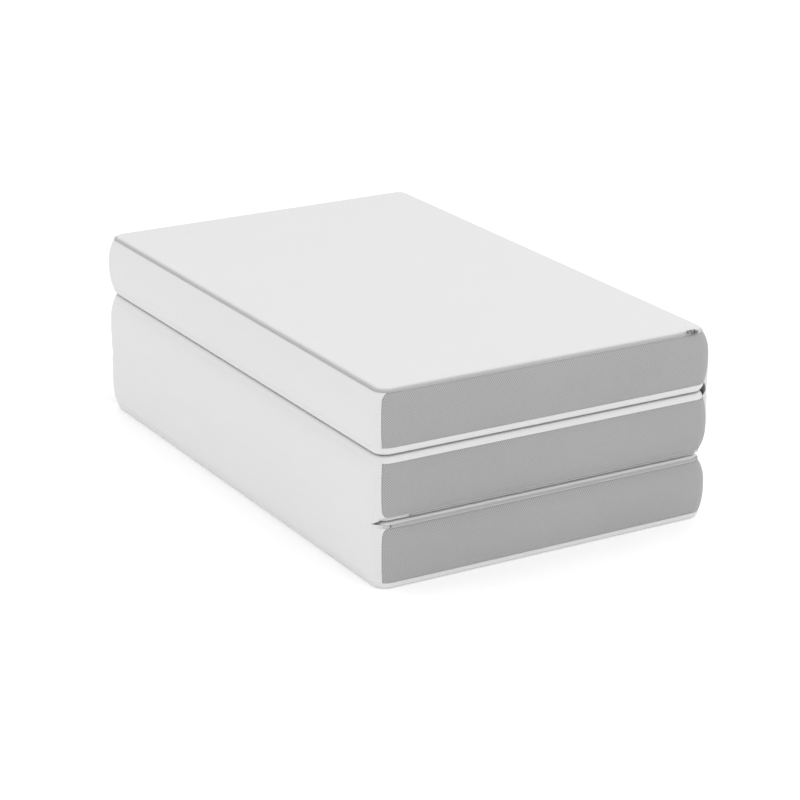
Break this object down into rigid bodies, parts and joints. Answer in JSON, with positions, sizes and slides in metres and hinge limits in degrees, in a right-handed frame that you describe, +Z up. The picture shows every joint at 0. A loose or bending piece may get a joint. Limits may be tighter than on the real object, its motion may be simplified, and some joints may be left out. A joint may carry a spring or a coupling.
{
  "type": "mattress",
  "caption": "Folding memory foam mattress stored as a folded stack: white knit faces, grey mesh sides, fabric hinges and a zipped cover on each section.",
  "frame": {"origin": "centre of the flat face that the folded stack rests on", "axes": "+Z up; +Y along the fold lines; +X across a section, so the lower fold is at -X and the upper fold at +X; the upper section's zip ends towards -Y"},
  "size_m": [0.6284, 0.989, 0.325],
  "materials": {
    "support_foam": "matte",
    "memory_foam": "matte",
    "foam_liner": "matte",
    "white_knit": "matte",
    "white_base_cloth": "matte",
    "grey_mesh": "matte",
    "grey_zip_tape": "matte",
    "grey_zip_coil": "satin",
    "zip_metal": "satin"
  },
  "bodies": {
    "lower_section": {"lower_support_foam": "support_foam", "lower_memory_foam": "memory_foam", "lower_foam_liner": "foam_liner", "lower_sleep_panel": "white_knit", "lower_base_panel": "white_base_cloth", "lower_mesh_front": "grey_mesh", "lower_mesh_back": "grey_mesh", "lower_end_panel_left": "white_base_cloth", "lower_end_panel_right": "white_base_cloth", "lower_zip_tape": "grey_zip_tape", "lower_zip_coil": "grey_zip_coil", "lower_zip_stops": "zip_metal", "lower_hinge_left": "white_base_cloth"},
    "lower_slider": {"lower_zip_slider": "zip_metal"},
    "lower_pull": {"lower_zip_pull": "zip_metal"},
    "middle_section": {"middle_support_foam": "support_foam", "middle_memory_foam": "memory_foam", "middle_foam_liner": "foam_liner", "middle_sleep_panel": "white_knit", "middle_base_panel": "white_base_cloth", "middle_mesh_front": "grey_mesh", "middle_mesh_back": "grey_mesh", "middle_end_panel_left": "white_base_cloth", "middle_end_panel_right": "white_base_cloth", "middle_zip_tape": "grey_zip_tape", "middle_zip_coil": "grey_zip_coil", "middle_zip_stops": "zip_metal", "middle_hinge_left": "white_base_cloth", "middle_hinge_right": "white_base_cloth"},
    "middle_slider": {"middle_zip_slider": "zip_metal"},
    "middle_pull": {"middle_zip_pull": "zip_metal"},
    "upper_section": {"upper_support_foam": "support_foam", "upper_memory_foam": "memory_foam", "upper_foam_liner": "foam_liner", "upper_sleep_panel": "white_knit", "upper_base_panel": "white_base_cloth", "upper_mesh_front": "grey_mesh", "upper_mesh_back": "grey_mesh", "upper_end_panel_left": "white_base_cloth", "upper_end_panel_right": "white_base_cloth", "upper_zip_tape": "grey_zip_tape", "upper_zip_coil": "grey_zip_coil", "upper_zip_stops": "zip_metal", "upper_hinge_right": "white_base_cloth"},
    "upper_slider": {"upper_zip_slider": "zip_metal"},
    "upper_pull": {"upper_zip_pull": "zip_metal"}
  },
  "joints": [
    {"name": "fold_left", "type": "hinge", "parent": "lower_section", "child": "middle_section", "pos_m": [-0.31445, 0, 0.1075], "axis": [0, -1, 0], "range_deg": [0, 180]},
    {"name": "fold_right", "type": "hinge", "parent": "middle_section", "child": "upper_section", "pos_m": [0.31445, 0, 0.2165], "axis": [0, 1, 0], "range_deg": [0, 180]},
    {"name": "lower_zip_travel", "type": "slide", "parent": "lower_section", "child": "lower_slider", "axis": [1, 0, 0], "range_m": [0, 0.548]},
    {"name": "middle_zip_travel", "type": "slide", "parent": "middle_section", "child": "middle_slider", "axis": [1, 0, 0], "range_m": [0, 0.514]},
    {"name": "upper_zip_travel", "type": "slide", "parent": "upper_section", "child": "upper_slider", "axis": [-1, 0, 0], "range_m": [0, 0.548]},
    {"name": "lower_pull_swing", "type": "hinge", "parent": "lower_slider", "child": "lower_pull", "pos_m": [-0.274, 0.48385, 0.10466], "axis": [0, -0.8355, 0.5495], "range_deg": [0, 175]},
    {"name": "middle_pull_swing", "type": "hinge", "parent": "middle_slider", "child": "middle_pull", "pos_m": [-0.24, 0.48385, 0.11034], "axis": [0, 0.8355, 0.5495], "range_deg": [-90, 85]},
    {"name": "upper_pull_swing", "type": "hinge", "parent": "upper_slider", "child": "upper_pull", "pos_m": [0.274, -0.48385, 0.32266], "axis": [0, 0.8355, 0.5495], "range_deg": [0, 175]}
  ]
}
